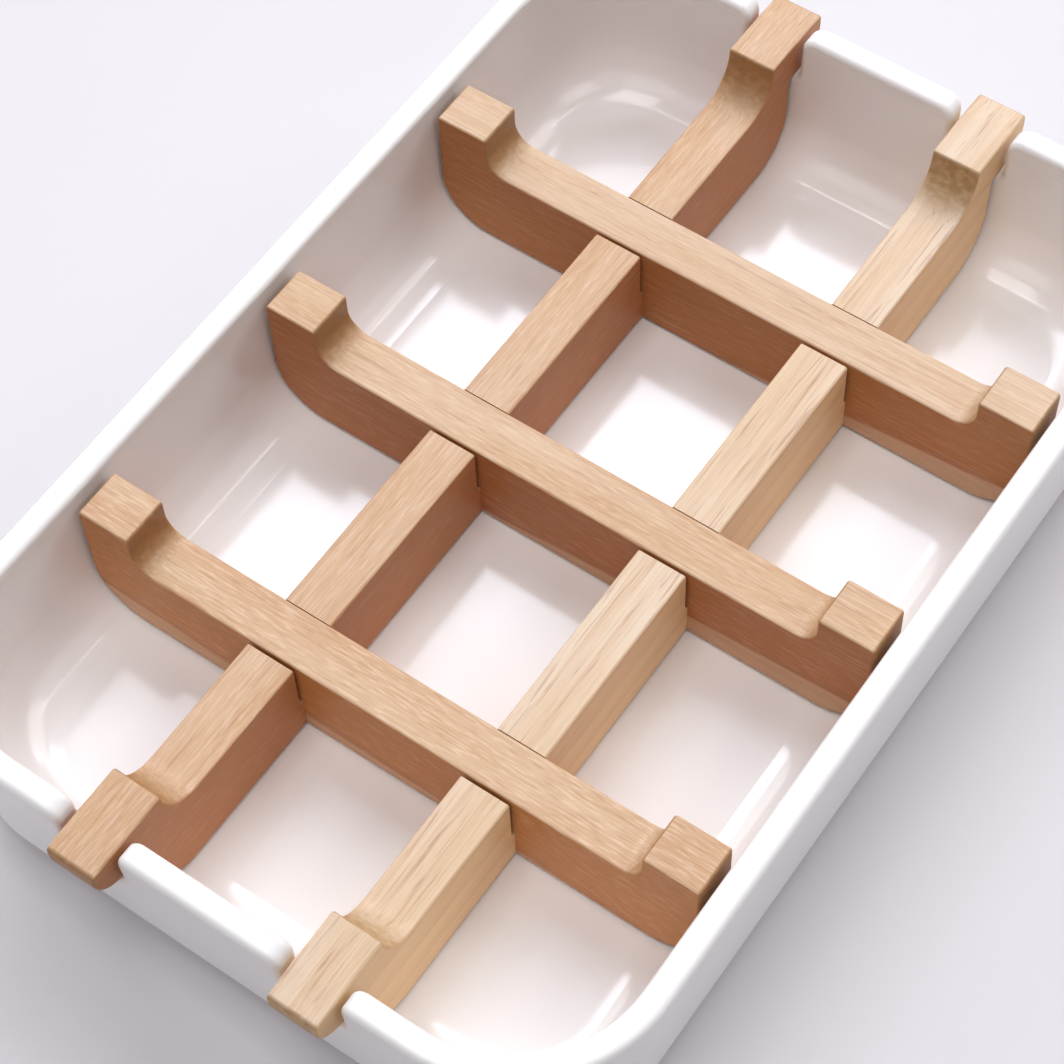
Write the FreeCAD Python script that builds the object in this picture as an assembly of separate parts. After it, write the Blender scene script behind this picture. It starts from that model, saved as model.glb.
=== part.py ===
import FreeCAD, Part
import math
import os

# Soap dish: a white moulded tray and a lift-out grid of five wooden bars joined by half laps.
# Millimetres. +X runs along the dish, +Y across it, +Z up. Origin: centre of the tray's underside.

# Tray
TRAY_LENGTH = 130.0
TRAY_WIDTH = 87.0
WALL = 3.0
FLOOR = 4.1
CORNER_RADIUS = 18.0
WALL_DRAFT = math.radians(3.5)
FLOOR_FILLET = 6.6
BASE_ROUND = 8.0
RIM_EASE = 0.8

# Wooden bars, each with a raised block at both ends
BAR_WIDTH = 6.1
BAR_HEIGHT = 12.0
LONG_BAR_SPACING = 27.6
CROSS_BAR_PITCH = 32.5
BLOCK_RISE = 5.3
BLOCK_LENGTH = 6.8
CROSS_HOLLOW_ROUND = 2.8
CORNER_EASE = 0.4
EDGE_EASE = 0.3

# Tips of the long bars, which rest in the notches of the short walls
TIP_SEAT_DEPTH = 0.4
TIP_REACH = 2.55
TIP_DROP = 0.3
TIP_CREASE_ROUND = 6.0
TIP_TOP_ROUND = 0.6
TIP_UNDER_ROUND = 3.9

# Notches of the short walls
NOTCH_TOP_ROUND = 2.0
NOTCH_FLOOR_ROUND = 0.8

# Half laps: the share of the bar height cut from the long bars; the cross bars lose the rest
LAP_SHARE = 0.6

# Clearances
UNDER_GAP = 0.4
RIM_ABOVE_BLOCKS = 1.2
END_CLEARANCE = 0.4
NOTCH_CLEARANCE = 0.6
LAP_GAP = 0.45
LAP_FIT = 0.02

# Levels that follow from the sizes above
BAR_BOTTOM = FLOOR + UNDER_GAP
BAR_TOP = BAR_BOTTOM + BAR_HEIGHT
BLOCK_TOP = BAR_TOP + BLOCK_RISE
NOTCH_FLOOR = BAR_TOP - TIP_SEAT_DEPTH
LAP_FLOOR = BAR_TOP - LAP_SHARE * BAR_HEIGHT
TRAY_HEIGHT = BLOCK_TOP + RIM_ABOVE_BLOCKS

# The hollow beside each block of a long bar takes up the whole rise below the block's eased corner
LONG_HOLLOW_ROUND = BLOCK_RISE - CORNER_EASE

# How far a cut runs past the material, and how close two points are to be one point
CUT_OVERSHOOT = 1.0
SAME_POINT = 1e-6

UP = FreeCAD.Vector(0, 0, 1)
ALONG = FreeCAD.Vector(1, 0, 0)
ACROSS = FreeCAD.Vector(0, 1, 0)
QUARTER_TURN = 90


def inner_reach(outer_size, level):
    """Distance from the middle of the tray to the inside of its wall at a level."""
    return outer_size / 2 - WALL - (TRAY_HEIGHT - level) * math.tan(WALL_DRAFT)


def tangent_arc(rim_reach, level, radius):
    """Arc that joins a level plane to the drafted wall line which meets the rim at rim_reach.

    Returns the point on the plane, the middle of the arc and the point on the wall.
    """
    centre_z = level + radius
    centre_u = rim_reach + ((centre_z - TRAY_HEIGHT) * math.sin(WALL_DRAFT) - radius) / math.cos(WALL_DRAFT)
    points = []
    for angle in (-math.pi / 2, -(math.pi / 2 + WALL_DRAFT) / 2, -WALL_DRAFT):
        u = centre_u + radius * math.cos(angle)
        z = centre_z + radius * math.sin(angle)
        points.append(FreeCAD.Vector(u, 0, z))
    return points


def tray_section():
    """Section of the tray from the centre of a plan corner outwards, as a face in the XZ plane."""
    inner_radius = CORNER_RADIUS - WALL
    base_foot, base_middle, base_wall = tangent_arc(CORNER_RADIUS, 0, BASE_ROUND)
    floor_foot, floor_middle, floor_wall = tangent_arc(inner_radius, FLOOR, FLOOR_FILLET)
    rim_outer = FreeCAD.Vector(CORNER_RADIUS, 0, TRAY_HEIGHT)
    rim_inner = FreeCAD.Vector(inner_radius, 0, TRAY_HEIGHT)
    axis_base = FreeCAD.Vector(0, 0, 0)
    axis_floor = FreeCAD.Vector(0, 0, FLOOR)
    edges = [
        Part.LineSegment(axis_base, base_foot).toShape(),
        Part.Arc(base_foot, base_middle, base_wall).toShape(),
        Part.LineSegment(base_wall, rim_outer).toShape(),
        Part.LineSegment(rim_outer, rim_inner).toShape(),
        Part.LineSegment(rim_inner, floor_wall).toShape(),
        Part.Arc(floor_wall, floor_middle, floor_foot).toShape(),
        Part.LineSegment(floor_foot, axis_floor).toShape(),
        Part.LineSegment(axis_floor, axis_base).toShape(),
    ]
    return Part.Face(Part.Wire(edges))


def tray_bowl():
    """The tray without its notches: the section turned round each corner and drawn along each side."""
    corner_x = TRAY_LENGTH / 2 - CORNER_RADIUS
    corner_y = TRAY_WIDTH / 2 - CORNER_RADIUS
    centres = [
        FreeCAD.Vector(corner_x, corner_y, 0),
        FreeCAD.Vector(-corner_x, corner_y, 0),
        FreeCAD.Vector(-corner_x, -corner_y, 0),
        FreeCAD.Vector(corner_x, -corner_y, 0),
    ]
    pieces = [Part.makeBox(2 * corner_x, 2 * corner_y, FLOOR, centres[2])]
    for quarter, centre in enumerate(centres):
        corner_start = tray_section()
        corner_start.rotate(FreeCAD.Vector(), UP, QUARTER_TURN * quarter)
        corner_start.translate(centre)
        pieces.append(corner_start.revolve(centre, UP, QUARTER_TURN))
        side_start = tray_section()
        side_start.rotate(FreeCAD.Vector(), UP, QUARTER_TURN * (quarter + 1))
        side_start.translate(centre)
        next_centre = centres[(quarter + 1) % len(centres)]
        pieces.append(side_start.extrude(next_centre - centre))
    return pieces[0].fuse(pieces[1:]).removeSplitter()


def rounded_outline(corners):
    """Closed wire through (point, radius) corners: each corner with a radius becomes a tangent arc."""
    spans = []
    for index, (here, radius) in enumerate(corners):
        if radius == 0:
            spans.append((here, None, here))
            continue
        before = corners[index - 1][0]
        after = corners[(index + 1) % len(corners)][0]
        back = (before - here).normalize()
        ahead = (after - here).normalize()
        half_angle = back.getAngle(ahead) / 2
        middle_way = (back + ahead).normalize()
        reach = radius / math.tan(half_angle)
        depth = radius / math.sin(half_angle) - radius
        spans.append((here + back * reach, here + middle_way * depth, here + ahead * reach))
    edges = []
    for index, (start, middle, end) in enumerate(spans):
        if middle is not None:
            edges.append(Part.Arc(start, middle, end).toShape())
        next_start = spans[(index + 1) % len(spans)][0]
        if not end.isEqual(next_start, SAME_POINT):
            edges.append(Part.LineSegment(end, next_start).toShape())
    return Part.Wire(edges)


def notch_cutter(end, centre_y):
    """Prism that cuts one notch through a short wall: flared at the rim, rounded at its floor."""
    inside = inner_reach(TRAY_LENGTH, NOTCH_FLOOR) - CUT_OVERSHOOT
    outside = TRAY_LENGTH / 2 + CUT_OVERSHOOT
    start_x = min(end * inside, end * outside)
    half = BAR_WIDTH / 2 + NOTCH_CLEARANCE
    flare = half + NOTCH_TOP_ROUND
    above = TRAY_HEIGHT + CUT_OVERSHOOT
    right_half = [
        (half, NOTCH_FLOOR, NOTCH_FLOOR_ROUND),
        (half, TRAY_HEIGHT, NOTCH_TOP_ROUND),
        (flare, TRAY_HEIGHT, 0),
        (flare, above, 0),
    ]
    corners = [(FreeCAD.Vector(start_x, centre_y + y, z), radius) for y, z, radius in right_half]
    corners += [(FreeCAD.Vector(start_x, centre_y - y, z), radius) for y, z, radius in reversed(right_half)]
    return Part.Face(rounded_outline(corners)).extrude(ALONG * (outside - inside))


def rim_edges(bowl):
    """The edges of the rim and of the notches where they meet the inner and outer walls."""
    chosen = []
    for edge in bowl.Edges:
        box = edge.BoundBox
        runs_through_wall = box.XLength > WALL / 2 and box.YLength < RIM_EASE and box.ZLength < RIM_EASE
        on_short_wall = abs(edge.CenterOfMass.x) > TRAY_LENGTH / 2 - 2 * WALL
        if box.ZMin > NOTCH_FLOOR - RIM_EASE and not (runs_through_wall and on_short_wall):
            chosen.append(edge)
    return chosen


def long_bar_places():
    """Distance across the dish of each bar that runs along it, left bar first."""
    return [LONG_BAR_SPACING / 2, -LONG_BAR_SPACING / 2]


def cross_bar_places():
    """Distance along the dish of each cross bar, near bar first."""
    return [-CROSS_BAR_PITCH, 0, CROSS_BAR_PITCH]


def tray():
    """The moulded tray with its notches and a softened rim."""
    bowl = tray_bowl()
    for end in (-1, 1):
        for centre_y in long_bar_places():
            bowl = bowl.cut(notch_cutter(end, centre_y))
    return bowl.makeFillet(RIM_EASE, rim_edges(bowl))


def eased_bar(outline, width_way):
    """Bar of a side outline, BAR_WIDTH thick, with every edge of its two sides eased."""
    bar = Part.Face(outline).extrude(width_way * BAR_WIDTH)
    middle = bar.BoundBox.Center.dot(width_way)
    side_edges = [edge for edge in bar.Edges if abs(edge.BoundBox.Center.dot(width_way) - middle) > EDGE_EASE]
    return bar.makeFillet(EDGE_EASE, side_edges)


def long_bar(centre_y):
    """Bar along the dish: its tips pass through the notches, and its laps are cut from the top.

    Each lap is LAP_GAP too long, and the cross bar is pushed against its far end.
    """
    lower_end = inner_reach(TRAY_LENGTH, BAR_BOTTOM + FLOOR_FILLET) - END_CLEARANCE
    crease = TRAY_LENGTH / 2 - WALL / 2
    block_inner = crease - BLOCK_LENGTH
    tip = TRAY_LENGTH / 2 + TIP_REACH
    near_side = centre_y - BAR_WIDTH / 2
    half = [
        (lower_end, BAR_BOTTOM, FLOOR_FILLET),
        (lower_end, NOTCH_FLOOR, CORNER_EASE),
        (tip, NOTCH_FLOOR, TIP_UNDER_ROUND),
        (tip, BLOCK_TOP - TIP_DROP, TIP_TOP_ROUND),
        (crease, BLOCK_TOP, TIP_CREASE_ROUND),
        (block_inner, BLOCK_TOP, CORNER_EASE),
        (block_inner, BAR_TOP, LONG_HOLLOW_ROUND),
    ]
    corners = [(FreeCAD.Vector(x, near_side, z), radius) for x, z, radius in half]
    corners += [(FreeCAD.Vector(-x, near_side, z), radius) for x, z, radius in reversed(half)]
    bar = eased_bar(rounded_outline(corners), ACROSS)
    slot_length = BAR_WIDTH + LAP_GAP
    slot_width = BAR_WIDTH + 2 * CUT_OVERSHOOT
    for centre_x in cross_bar_places():
        slot_x = centre_x - BAR_WIDTH / 2 - LAP_GAP
        slot_start = FreeCAD.Vector(slot_x, near_side - CUT_OVERSHOOT, LAP_FLOOR)
        bar = bar.cut(Part.makeBox(slot_length, slot_width, BAR_HEIGHT, slot_start))
    return bar


def cross_bar(centre_x):
    """Bar across the dish: its ends stand inside the long walls, and its laps are cut from below."""
    end = inner_reach(TRAY_WIDTH, BAR_BOTTOM + FLOOR_FILLET) - END_CLEARANCE
    block_inner = end - BLOCK_LENGTH
    near_side = centre_x - BAR_WIDTH / 2
    half = [
        (end, BAR_BOTTOM, FLOOR_FILLET),
        (end, BLOCK_TOP, CORNER_EASE),
        (block_inner, BLOCK_TOP, CORNER_EASE),
        (block_inner, BAR_TOP, CROSS_HOLLOW_ROUND),
    ]
    corners = [(FreeCAD.Vector(near_side, y, z), radius) for y, z, radius in half]
    corners += [(FreeCAD.Vector(near_side, -y, z), radius) for y, z, radius in reversed(half)]
    bar = eased_bar(rounded_outline(corners), ALONG)
    slot_length = BAR_WIDTH + 2 * LAP_FIT
    slot_width = BAR_WIDTH + 2 * CUT_OVERSHOOT
    for centre_y in long_bar_places():
        slot_y = centre_y - slot_length / 2
        slot_start = FreeCAD.Vector(near_side - CUT_OVERSHOOT, slot_y, LAP_FLOOR - BAR_HEIGHT)
        bar = bar.cut(Part.makeBox(slot_width, slot_length, BAR_HEIGHT, slot_start))
    return bar


nodes = {"tray": tray()}
for name, centre_y in zip(("long_bar_left", "long_bar_right"), long_bar_places()):
    nodes[name] = long_bar(centre_y)
for name, centre_x in zip(("cross_bar_near", "cross_bar_middle", "cross_bar_far"), cross_bar_places()):
    nodes[name] = cross_bar(centre_x)

os.makedirs("parts", exist_ok=True)
for name, shape in nodes.items():
    shape.exportStep(f"parts/{name}.step")
    box = shape.optimalBoundingBox(False)
    print(
        f"{name}: valid {shape.isValid()}, solids {len(shape.Solids)}, volume {shape.Volume:.1f} mm3,"
        f" size {box.XLength:.2f} x {box.YLength:.2f} x {box.ZLength:.2f} mm, foot at {box.ZMin:.2f} mm"
    )
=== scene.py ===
# %% [markdown]
# # A soap dish: a white tray and a lift-out wooden grid
#
# The real dish is two things. A shallow tray is moulded in one piece from white plastic, and a grid of
# five beech sticks, notched into each other, rests in it and lifts out for rinsing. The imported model
# already holds every piece at its real shape and size, so its meshes stay as they are. This script adds
# what a bare shape lacks: the finish of each surface, the light it stands in, and a camera.

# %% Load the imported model
import math

import bpy
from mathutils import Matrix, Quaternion, Vector


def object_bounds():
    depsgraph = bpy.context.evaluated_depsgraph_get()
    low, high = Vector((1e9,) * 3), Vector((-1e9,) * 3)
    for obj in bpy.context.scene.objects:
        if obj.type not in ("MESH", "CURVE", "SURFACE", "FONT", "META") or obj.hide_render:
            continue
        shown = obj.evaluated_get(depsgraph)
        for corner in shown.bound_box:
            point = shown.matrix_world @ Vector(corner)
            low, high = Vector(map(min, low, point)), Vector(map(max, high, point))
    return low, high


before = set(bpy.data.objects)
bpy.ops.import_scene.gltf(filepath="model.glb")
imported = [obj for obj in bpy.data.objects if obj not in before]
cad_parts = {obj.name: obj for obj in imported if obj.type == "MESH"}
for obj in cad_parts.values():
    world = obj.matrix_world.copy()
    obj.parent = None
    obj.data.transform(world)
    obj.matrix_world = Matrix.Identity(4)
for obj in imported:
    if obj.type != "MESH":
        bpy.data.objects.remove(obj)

cad_low, cad_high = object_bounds()
print("pieces:", ", ".join(sorted(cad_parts)))
print("size in mm:", [round(1000 * side, 1) for side in cad_high - cad_low])

# %% [markdown]
# ## Two helpers for every finish
#
# A finish in Blender is a network of shader nodes. By hand you would add and join them in the shader
# editor. In code, one short function that adds a node, sets it and links its inputs keeps each network
# readable. Colours are written as sRGB hex, as a colour picker shows them, and are turned into the
# linear light values that shaders expect.

# %% Colours and nodes
MM = 0.001


def linear(hex_colour):
    """The linear RGBA of an sRGB colour such as #F2EEEC."""
    channels = [int(hex_colour[start:start + 2], 16) / 255 for start in (1, 3, 5)]
    return [c / 12.92 if c <= 0.04045 else ((c + 0.055) / 1.055) ** 2.4 for c in channels] + [1.0]


def add_node(tree, kind, inputs, **settings):
    """Adds a node with its settings. An input is a plain value, or another node's output to link from."""
    node = tree.nodes.new(kind)
    for name, value in settings.items():
        setattr(node, name, value)
    for socket, value in inputs.items():
        if isinstance(value, bpy.types.NodeSocket):
            tree.links.new(value, node.inputs[socket])
        else:
            node.inputs[socket].default_value = value
    return node


# A Mix node has one set of sockets for each kind of data. These are the places of its colour sockets.
MIX_FACTOR, MIX_FIRST, MIX_SECOND, MIXED = 0, 6, 7, 2
print("mid grey #808080 in linear light:", round(linear("#808080")[0], 3))

# %% [markdown]
# ## The tray: white ABS, injection-moulded
#
# The tray came out of a steel mould. The half that formed the inside was polished, so the inside mirrors
# a window softly; the half that formed the outside and the rim was left satin. The plastic shrinks a
# little as it cools, which leaves a faint orange peel, and its white drifts between warm and cool. One
# material can hold both halves: the side that a face looks to, outwards or inwards, chooses the gloss.
# Noise textures, each tied to a real size in millimetres, add the unevenness.

# %% The tray's finish
CLOUD_MM = 38
PEEL_MM = 2.4
PEEL_DEPTH_MM = 0.004
HANDLING_MM = 9
TRAY_ROUGHNESS = (0.11, 0.16)
ABS_IOR = 1.53
# Noise runs from 0 to 1, but nearly all of it lies between these two values.
NOISE_LOW, NOISE_HIGH = 0.3, 0.7

# Polished and satin white plastic: an even, milky white with a clear sheen inside and a soft one outside.
tray_finish = bpy.data.materials.new("White ABS, injection-moulded")
tray_finish.use_nodes = True
tree = tray_finish.node_tree
tray_shader = tree.nodes["Principled BSDF"]
place = add_node(tree, "ShaderNodeTexCoord", {})
clouds = add_node(tree, "ShaderNodeTexNoise", {
    "Vector": place.outputs["Object"], "Scale": 1 / (CLOUD_MM * MM), "Detail": 2.0})
peel = add_node(tree, "ShaderNodeTexNoise", {
    "Vector": place.outputs["Object"], "Scale": 1 / (PEEL_MM * MM), "Detail": 1.0})
handling = add_node(tree, "ShaderNodeTexNoise", {
    "Vector": place.outputs["Object"], "Scale": 1 / (HANDLING_MM * MM), "Detail": 3.0})
white = add_node(tree, "ShaderNodeMix", {
    MIX_FACTOR: clouds.outputs["Fac"], MIX_FIRST: linear("#F3F1F2"), MIX_SECOND: linear("#F6F3F2")},
    data_type="RGBA")
polished = add_node(tree, "ShaderNodeMapRange", {
    "Value": handling.outputs["Fac"], "From Min": NOISE_LOW, "From Max": NOISE_HIGH,
    "To Min": TRAY_ROUGHNESS[0], "To Max": TRAY_ROUGHNESS[1]})
print("tray white: clouds of", CLOUD_MM, "mm, orange peel of", PEEL_MM, "mm")

# %% [markdown]
# ## Polished inside, satin outside
#
# To tell the two halves of the mould apart, compare the way a face looks with the way outwards from the
# tray's middle. A dot product does that: it is positive on the outer walls and negative on the inner
# ones. The rim is found by its height. Where either says so, the surface gets rougher.

# %% Where the tray is satin
RIM_FROM_MM, RIM_FULL_MM = 20.5, 22.3
OUTSIDE_FROM, OUTSIDE_FULL = 0.05, 0.35
SATIN_EXTRA = 0.22
from_middle = add_node(tree, "ShaderNodeVectorMath", {
    0: place.outputs["Object"], 1: (1, 1, 0)}, operation="MULTIPLY")
outwards = add_node(tree, "ShaderNodeVectorMath", {
    0: from_middle.outputs["Vector"]}, operation="NORMALIZE")
looks_out = add_node(tree, "ShaderNodeVectorMath", {
    0: place.outputs["Normal"], 1: outwards.outputs["Vector"]}, operation="DOT_PRODUCT")
outside = add_node(tree, "ShaderNodeMapRange", {
    "Value": looks_out.outputs["Value"], "From Min": OUTSIDE_FROM, "From Max": OUTSIDE_FULL})
height = add_node(tree, "ShaderNodeSeparateXYZ", {"Vector": place.outputs["Object"]})
rim = add_node(tree, "ShaderNodeMapRange", {
    "Value": height.outputs["Z"], "From Min": RIM_FROM_MM * MM, "From Max": RIM_FULL_MM * MM})
satin = add_node(tree, "ShaderNodeMath", {
    0: outside.outputs["Result"], 1: rim.outputs["Result"]}, operation="MAXIMUM")
gloss = add_node(tree, "ShaderNodeMath", {
    0: satin.outputs["Value"], 1: SATIN_EXTRA, 2: polished.outputs["Result"]}, operation="MULTIPLY_ADD")
relief = add_node(tree, "ShaderNodeBump", {
    "Height": peel.outputs["Fac"], "Distance": PEEL_DEPTH_MM * MM, "Strength": 1.0})
tree.links.new(white.outputs[MIXED], tray_shader.inputs["Base Color"])
tree.links.new(gloss.outputs["Value"], tray_shader.inputs["Roughness"])
tree.links.new(relief.outputs["Normal"], tray_shader.inputs["Normal"])
tray_shader.inputs["IOR"].default_value = ABS_IOR
print("tray finish:", tray_finish.name, "with", len(tree.nodes), "nodes")

# %% [markdown]
# ## The sticks: beech, planed, sanded and thinly oiled
#
# Wood is a solid, so its pattern should run through the stick and not be wrapped on it like paper. A 3-D
# texture in the object's own coordinates does that: the same grain shows on the top, the sides, the
# hollows and the cut ends, each the way the saw met it. Stretching a noise texture along the stick turns
# its blobs into fibres, pores and flecks. The growth rings are a ring texture about a pith that lies
# outside the stick, because thin sticks are sawn from the outer part of a log.

# %% Sizes of the grain
RING_MM = 2.2
GRAIN_STRETCH = 0.04
# Length along the grain, width across it, fine detail and wander of each kind of mark.
MARKS = {
    "drift": (30, 4, 2, 0.0),
    "fibre": (11, 0.16, 2, 0.0),
    "line": (10, 0.4, 2, 0.8),
    "dash": (2.4, 0.28, 1, 0.3),
    "torn": (0.5, 1.0, 1, 0.0),
}
# A ring texture of scale 1 has a ring each 2 pi / 20 units.
RING_PERIOD = 2 * math.pi / 20
# Each stick starts this much further along the grain than the one before.
START_STEP_MM = 97.0


# %% Marks that run through a stick
def grain_marks(tree, place, pith_mm, along_y, seed):
    """The outputs of the grain's patterns by name. The pith lies at pith_mm, sideways and up."""
    # Millimetres, turned so that X runs along the grain, with the pith on the X axis.
    grain = add_node(tree, "ShaderNodeMapping", {
        "Vector": place.outputs["Object"], "Scale": (1 / MM,) * 3,
        "Rotation": (0, 0, math.radians(-90) if along_y else 0),
        "Location": (START_STEP_MM * seed, -pith_mm[0], -pith_mm[1])})
    patterns = {}
    for mark, (length, width, detail, wander) in MARKS.items():
        stretched = add_node(tree, "ShaderNodeVectorMath", {
            0: grain.outputs["Vector"], 1: (1 / length, 1 / width, 1 / width)}, operation="MULTIPLY")
        patterns[mark] = add_node(tree, "ShaderNodeTexNoise", {
            "Vector": stretched.outputs["Vector"], "Scale": 1.0, "Detail": detail,
            "Distortion": wander}).outputs["Fac"]
    drawn_out = add_node(tree, "ShaderNodeVectorMath", {
        0: grain.outputs["Vector"], 1: (GRAIN_STRETCH, 1, 1)}, operation="MULTIPLY")
    patterns["ring"] = add_node(tree, "ShaderNodeTexWave", {
        "Vector": drawn_out.outputs["Vector"], "Scale": RING_PERIOD / RING_MM, "Distortion": 4.0,
        "Detail": 2.0, "Detail Scale": 0.6},
        wave_type="RINGS", rings_direction="X", wave_profile="SAW").outputs["Fac"]
    return patterns


print("grain marks:", ", ".join(MARKS), "and rings each", RING_MM, "mm")

# %% [markdown]
# ## Top, side and end
#
# The same stick looks different on each face. The sticks were sawn so that rays and pores lie open on top
# and only edge-on at the sides. The sides get a tone of their own: on most sticks it is darker and redder
# than the top, which is painted shade, and on the right-hand long stick it is paler, which is painted
# light. Low down, some sides turn paler in a band. Where a face cuts across the fibres they tear and drink
# more oil, and these cut ends are darkened further as painted shade. The direction a face looks in, from
# the Texture Coordinate node's Normal, gives a mask for each.

# %% Masks from the way a face looks
# The top mask lays the top's tone over the side's tone; the difference between the two is painted light and
# shade.
TOP_FROM, TOP_FULL = 0.2, 0.8
OPEN_FROM, OPEN_FULL = 0.15, 0.6
# How far the pores lie open on sides and on ends, where 1 is the top.
SIDE_OPEN, END_OPEN = 0.4, 0.45
END_FROM, END_FULL = 0.2, 0.8
TORN_FROM, TORN_FULL, TORN_LEAST = 0.34, 0.64, 0.6
LOW_BAND_WANDER_MM = 2.0


def add_masks(tree, place, patterns, stick_way, low_band_mm, low_band_slope):
    """Adds top, open, pale, end and a fifth pattern: how far a point lies below the edge of the paler low
    band, in mm.
    """
    upright = add_node(tree, "ShaderNodeVectorMath", {
        0: place.outputs["Normal"], 1: (0, 0, 1)}, operation="DOT_PRODUCT")
    patterns["top"] = add_node(tree, "ShaderNodeMapRange", {
        "Value": upright.outputs["Value"], "From Min": TOP_FROM, "From Max": TOP_FULL}).outputs["Result"]
    across = add_node(tree, "ShaderNodeVectorMath", {
        0: place.outputs["Normal"], 1: stick_way}, operation="DOT_PRODUCT")
    facing_end = add_node(tree, "ShaderNodeMath", {
        0: across.outputs["Value"]}, operation="ABSOLUTE").outputs["Value"]
    side_view = add_node(tree, "ShaderNodeMapRange", {"Value": patterns["top"], "To Min": SIDE_OPEN})
    patterns["open"] = add_node(tree, "ShaderNodeMapRange", {
        "Value": facing_end, "From Min": OPEN_FROM, "From Max": OPEN_FULL,
        "To Min": side_view.outputs["Result"], "To Max": END_OPEN}).outputs["Result"]
    patterns["pale"] = add_node(tree, "ShaderNodeMath", {
        0: patterns["drift"], 1: patterns["top"]}, operation="MULTIPLY").outputs["Value"]
    torn = add_node(tree, "ShaderNodeMapRange", {
        "Value": patterns["torn"], "From Min": TORN_FROM, "From Max": TORN_FULL, "To Min": TORN_LEAST})
    patterns["end"] = add_node(tree, "ShaderNodeMapRange", {
        "Value": facing_end, "From Min": END_FROM, "From Max": END_FULL,
        "To Max": torn.outputs["Result"]}).outputs["Result"]
    rise = [low_band_slope * way / MM for way in stick_way]
    below = add_node(tree, "ShaderNodeVectorMath", {
        0: place.outputs["Object"], 1: (rise[0], rise[1], -1 / MM)}, operation="DOT_PRODUCT")
    edge = add_node(tree, "ShaderNodeMath", {
        0: patterns["drift"], 1: LOW_BAND_WANDER_MM, 2: below.outputs["Value"]}, operation="MULTIPLY_ADD")
    patterns["low_band"] = add_node(tree, "ShaderNodeMath", {
        0: edge.outputs["Value"], 1: low_band_mm - LOW_BAND_WANDER_MM / 2}).outputs["Value"]


print("sapwood's edge wanders by", LOW_BAND_WANDER_MM, "mm")

# %% [markdown]
# ## Layers of colour
#
# The colour is laid on like thin glazes, from coarse to fine: the side's tone, which is painted shade on
# most sticks and painted light on the right-hand long stick, the paler band low on the side, the top's
# tone, set apart from the side's as painted light, its drifting tone, rings, fibres, lines of pores, short
# flecks, and last the dark end grain, which is partly real and partly painted shade. Each layer covers the
# last one where its pattern lies between two limits. Oil soaks in and leaves no film, so the wood mirrors
# little and keeps its full colour in the shade.

# %% The recipe for one stick
LATEWOOD = linear("#B27A4E")
BROWN = linear("#93573A")
PALE = linear("#EBD0B8")
# Oiled end grain keeps this share of the top's red, green and blue. Part of the darkening is real end
# grain and part is painted shade on the shaded ends.
END_SHADE = (0.6, 0.5, 0.36, 1.0)
GRAIN_DEPTH_MM = 0.01
# Torn end grain is this many times deeper than the pores.
TEAR_TO_GRAIN = 4.0
WOOD_ROUGHNESS = (0.36, 0.48)
OILED_SPECULAR = 0.2


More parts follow.
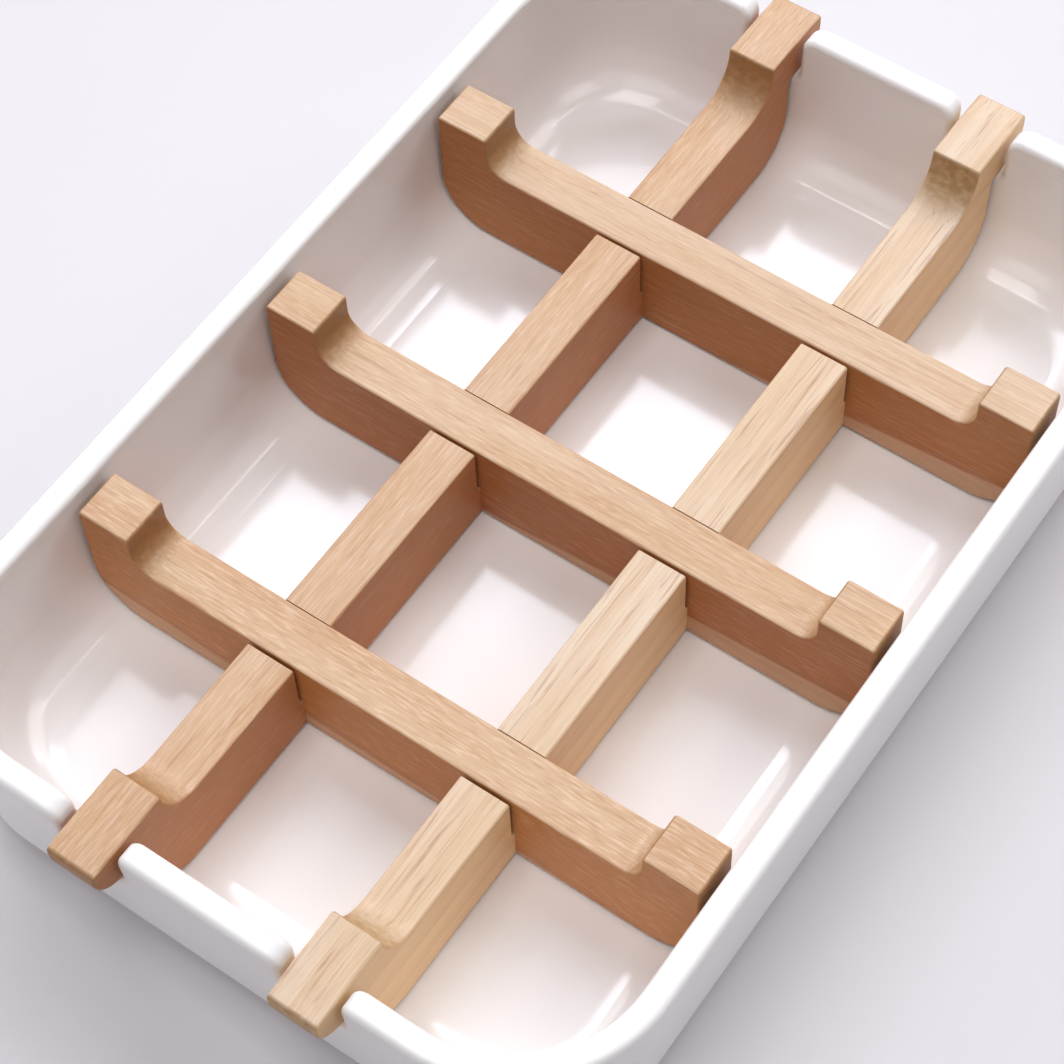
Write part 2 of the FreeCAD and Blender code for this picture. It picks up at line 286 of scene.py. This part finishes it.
def oiled_beech(name, side_tone_painted_light_and_shade, tone, pale_tone, pith_mm, lines, dashes, low_band_mm=0, low_band_slope=0,
                along_y=False, seed=0):
    """Oiled beech with its grain along the stick.

    Below the level given in mm, which rises by the given slope along the stick, its sides turn paler in a
    band.
    """
    wood = bpy.data.materials.new(name)
    wood.use_nodes = True
    tree = wood.node_tree
    shader = tree.nodes["Principled BSDF"]
    place = add_node(tree, "ShaderNodeTexCoord", {})
    patterns = grain_marks(tree, place, pith_mm, along_y, seed)
    add_masks(tree, place, patterns, (0, 1, 0) if along_y else (1, 0, 0), low_band_mm, low_band_slope)
    # End grain is darker, as oiled end grain is, and darker still as painted shade on the shaded ends.
    end_tone_with_painted_shade = [level * share for level, share in zip(linear(tone), END_SHADE)]
    # Pattern, where the layer starts, where it is full, the most that it covers, and its colour.
    layers = (
        # Low on the sides, below a browner edge, the tone turns paler.
        ("low_band", -1.6, 0.0, 0.35, BROWN),
        ("low_band", 0.0, 0.5, 0.7, linear(tone)),
        # On upward faces the top's tone covers the side's; the difference between them is painted light and
        # shade.
        ("top", 0.0, 1.0, 1.0, linear(tone)),
        ("pale", 0.35, 0.65, 1.0, linear(pale_tone)),
        ("ring", 0.3, 1.0, 0.18, LATEWOOD),
        ("fibre", 0.5, 0.8, 0.26, PALE),
        ("fibre", 0.5, 0.2, 0.16, BROWN),
        ("line", 0.42, 0.3, 0.8 * lines, PALE),
        ("line", 0.58, 0.7, lines, BROWN),
        ("dash", 0.46, 0.32, dashes, PALE),
        ("dash", 0.58, 0.74, 0.6 * dashes, BROWN),
        ("end", 0.0, 1.0, 1.0, end_tone_with_painted_shade),
    )
    # The first colour is the side's tone: painted shade on most sticks, painted light on the right-hand
    # long stick.
    colour = linear(side_tone_painted_light_and_shade)
    for pattern, starts, full, most, tint in layers:
        cover = add_node(tree, "ShaderNodeMapRange", {
            "Value": patterns[pattern], "From Min": starts, "From Max": full,
            "To Max": most}).outputs["Result"]
        if pattern in ("fibre", "line", "dash"):
            cover = add_node(tree, "ShaderNodeMath", {
                0: cover, 1: patterns["open"]}, operation="MULTIPLY").outputs["Value"]
        colour = add_node(tree, "ShaderNodeMix", {
            MIX_FACTOR: cover, MIX_FIRST: colour, MIX_SECOND: tint}, data_type="RGBA").outputs[MIXED]
    gloss = add_node(tree, "ShaderNodeMapRange", {
        "Value": patterns["fibre"], "From Min": NOISE_LOW, "From Max": NOISE_HIGH,
        "To Min": WOOD_ROUGHNESS[0], "To Max": WOOD_ROUGHNESS[1]})
    height = add_node(tree, "ShaderNodeMath", {
        0: patterns["end"], 1: -TEAR_TO_GRAIN, 2: patterns["line"]}, operation="MULTIPLY_ADD")
    relief = add_node(tree, "ShaderNodeBump", {
        "Height": height.outputs["Value"], "Distance": GRAIN_DEPTH_MM * MM, "Strength": 1.0})
    tree.links.new(colour, shader.inputs["Base Color"])
    tree.links.new(gloss.outputs["Result"], shader.inputs["Roughness"])
    tree.links.new(relief.outputs["Normal"], shader.inputs["Normal"])
    shader.inputs["Specular IOR Level"].default_value = OILED_SPECULAR
    return wood


print("wood roughness from", WOOD_ROUGHNESS[0], "to", WOOD_ROUGHNESS[1])

# %% [markdown]
# ## Five sticks, five cuts
#
# Five sticks are rarely cut from one plank. In this grid the right-hand long stick is paler and yellower
# than the rest, and the cross sticks turn paler in a band low on their sides. The sides' tones are painted
# shade, and on the right-hand long stick painted light. The recipe is the same for all, so only the tones,
# the place of the pith, the strength of the lines and flecks and the start along the grain change from
# stick to stick.

# %% Dress the sticks and the tray
# The side tones are painted shade, darker than the tops, except on the right-hand long stick, where the
# paler side is painted light.
STICKS = {
    "long_bar_left": dict(
        side_tone_painted_light_and_shade="#B87A4E", tone="#C9A27E", pale_tone="#D1AF92", pith_mm=(34, -40),
        lines=0.25, dashes=0.25, seed=1),
    "long_bar_right": dict(
        side_tone_painted_light_and_shade="#E7C192", tone="#D9BC9D", pale_tone="#E1CBB4", pith_mm=(-52, 30),
        lines=0.4, dashes=0.1, seed=2),
    "cross_bar_near": dict(
        side_tone_painted_light_and_shade="#B8783F", tone="#CAA27F", pale_tone="#D2B191", pith_mm=(16, -46),
        lines=0.15, dashes=0.42, low_band_mm=6.3, low_band_slope=0.05, along_y=True, seed=3),
    "cross_bar_middle": dict(
        side_tone_painted_light_and_shade="#AD6D3F", tone="#CCA886", pale_tone="#D4B497", pith_mm=(-20, 52),
        lines=0.22, dashes=0.3, low_band_mm=6.6, low_band_slope=-0.08, along_y=True, seed=4),
    "cross_bar_far": dict(
        side_tone_painted_light_and_shade="#AD6F3C", tone="#CFAE90", pale_tone="#D6BBA0", pith_mm=(58, 12),
        lines=0.25, dashes=0.2, low_band_mm=4.6, low_band_slope=-0.12, along_y=True, seed=5),
}
finishes = {"tray": tray_finish}
for stick, look in STICKS.items():
    finishes[stick] = oiled_beech(f"Oiled beech, {stick}", **look)
for node, finish in finishes.items():
    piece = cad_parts[node]
    piece.data.materials.clear()
    piece.data.materials.append(finish)
    print(f"{node}: {finish.name}")

# %% [markdown]
# ## The floor it stands on
#
# The dish stands on a pale matt sheet that runs far past the picture. A plane is enough: it has no
# thickness that shows. Its colour makes the background pale, so the lamps need not be turned up. Far
# from the dish, where the lamps no longer reach, the sheet would turn grey. There it is given a pale
# glow that only the camera and reflections see, so it adds no light to the dish.

# %% A pale sheet
FLOOR_SIZE_M = 6.0
GLOW_FROM_M, GLOW_FULL_M = 0.25, 1.0


def looked_at(tree):
    """An output that is 1 for the camera, reflections and views through glass, and 0 for other light."""
    ray = add_node(tree, "ShaderNodeLightPath", {})
    seen = ray.outputs["Is Camera Ray"]
    for kind in ("Is Glossy Ray", "Is Transmission Ray"):
        seen = add_node(tree, "ShaderNodeMath", {
            0: seen, 1: ray.outputs[kind]}, operation="MAXIMUM").outputs["Value"]
    return seen


bpy.ops.object.select_all(action="DESELECT")
bpy.ops.mesh.primitive_plane_add(size=FLOOR_SIZE_M, location=(0, 0, cad_low.z))
floor = bpy.context.object
floor.name = "studio_floor"
# Matt paper scatters light evenly and mirrors almost nothing.
paper = bpy.data.materials.new("Matt paper, pale grey")
paper.use_nodes = True
tree = paper.node_tree
sheet = tree.nodes["Principled BSDF"]
sheet.inputs["Base Color"].default_value = linear("#DEDADE")
sheet.inputs["Roughness"].default_value = 0.9
sheet.inputs["Specular IOR Level"].default_value = 0.1
place = add_node(tree, "ShaderNodeTexCoord", {})
away = add_node(tree, "ShaderNodeVectorMath", {0: place.outputs["Object"]}, operation="LENGTH")
far = add_node(tree, "ShaderNodeMapRange", {
    "Value": away.outputs["Value"], "From Min": GLOW_FROM_M, "From Max": GLOW_FULL_M})
glowing = add_node(tree, "ShaderNodeMath", {
    0: far.outputs["Result"], 1: looked_at(tree)}, operation="MULTIPLY")
glow = add_node(tree, "ShaderNodeEmission", {"Color": linear("#F1EFF3"), "Strength": 1.0})
mixed = add_node(tree, "ShaderNodeMixShader", {
    0: glowing.outputs["Value"], 1: sheet.outputs["BSDF"], 2: glow.outputs["Emission"]})
tree.links.new(mixed.outputs["Shader"], tree.nodes["Material Output"].inputs["Surface"])
floor.data.materials.append(paper)
print("floor at z =", round(1000 * cad_low.z, 2), "mm")

# %% [markdown]
# ## Light
#
# The dish stands before a wide window that lies straight behind it, as the camera sees it. The window's
# reflection makes white patches on the tray's glossy floor, and the near faces of the sticks fall into
# shade. Weaker soft lamps above, on the right, in front and on the left open those shades. Two narrow
# strips draw the thin bright lines that run along the rounded foot of the tray's walls, as the gap
# between two curtains would. Each lamp is an area lamp aimed at the dish, placed by its bearing, its
# height in degrees and its distance.

# %% Lamps
def look_from(thing, azimuth, elevation, distance, aim, roll=0.0):
    """Places a lamp or a camera so that it looks at aim. Azimuth 0 is in front, at -Y, and 90 is at +X."""
    turn, rise = math.radians(azimuth), math.radians(elevation)
    back = Vector((math.sin(turn) * math.cos(rise), -math.cos(turn) * math.cos(rise), math.sin(rise)))
    thing.location = aim + back * distance
    thing.rotation_mode = "QUATERNION"
    tilt = Quaternion((0, 0, 1), math.radians(roll))
    thing.rotation_quaternion = (-back).to_track_quat("-Z", "Y") @ tilt


DISH_MIDDLE = Vector((0, 0, 10 * MM))
LAMPS = {
    "window": dict(azimuth=135, elevation=55.5, width=0.56, height=0.19, watts=2.89, colour="#ECF2FF"),
    "window_low": dict(azimuth=128, elevation=36, width=1.4, height=0.5, watts=5.4),
    "overhead": dict(azimuth=-90, elevation=78, width=0.5, height=0.45, watts=3.0),
    "right_soft": dict(azimuth=75, elevation=40, width=0.8, height=0.55, watts=4.0),
    "front_soft": dict(azimuth=-5, elevation=45, width=0.5, height=0.4, watts=1.18),
    "strip_right": dict(azimuth=49, elevation=59, width=0.30, height=0.012, roll=-45, watts=0.28),
    "strip_left": dict(azimuth=180, elevation=73.7, width=0.012, height=0.26, watts=0.28),
    "near_fill": dict(azimuth=-90, elevation=45, width=0.8, height=0.5, watts=1.5),
    "near_left": dict(azimuth=-140, elevation=15, width=0.8, height=0.3, watts=0.7),
}
LAMP_DISTANCE_M = 1.0
for name, lamp in LAMPS.items():
    light = bpy.data.lights.new(name, "AREA")
    light.shape = "RECTANGLE"
    light.size, light.size_y = lamp["width"], lamp["height"]
    light.energy = lamp["watts"]
    light.color = linear(lamp.get("colour", "#FFFFFF"))[:3]
    holder = bpy.data.objects.new(name, light)
    bpy.context.scene.collection.objects.link(holder)
    look_from(holder, lamp["azimuth"], lamp["elevation"], LAMP_DISTANCE_M, DISH_MIDDLE, lamp.get("roll", 0))
    print(f"{name}: {lamp['watts']} W")

# %% [markdown]
# ## The room
#
# Behind the floor lies the world. Here it gives no light at all, so the lamps alone shape the shadows, and
# it is white only where the camera or a reflection looks at it.

# %% The room
ROOM_LEVEL, ROOM_SEEN = 0.0, 1.0
world = bpy.data.worlds.new("Pale room")
world.use_nodes = True
bpy.context.scene.world = world
tree = world.node_tree
room = tree.nodes["Background"]
room.inputs["Color"].default_value = linear("#F6F4FA")
seen = add_node(tree, "ShaderNodeMapRange", {
    "Value": looked_at(tree), "To Min": ROOM_LEVEL, "To Max": ROOM_SEEN})
tree.links.new(seen.outputs["Result"], room.inputs["Strength"])
print("room level:", ROOM_LEVEL, "and as seen:", ROOM_SEEN)

# %% [markdown]
# ## The camera
#
# The picture was taken from above the dish's near left corner with a short telephoto lens, and the
# camera was tilted a little about its own line of sight. Bearing, height, distance, lens and tilt were
# worked out from the crossings of the grid, whose spacing is known.

# %% Camera
CAMERA_AIM = Vector((-8.05, -0.10, 16.5)) * MM
bpy.ops.object.select_all(action="DESELECT")
bpy.ops.object.camera_add()
camera = bpy.context.object
camera.name = "photo_camera"
camera.data.sensor_width = 36.0
camera.data.lens = 94.64
camera.data.clip_start = 0.01
look_from(camera, azimuth=-52.27, elevation=58.24, distance=299.9 * MM, aim=CAMERA_AIM, roll=-3.22)
bpy.context.scene.camera = camera
bpy.context.scene.view_settings.view_transform = "Standard"
print("camera at", [round(1000 * c, 1) for c in camera.location], "mm")
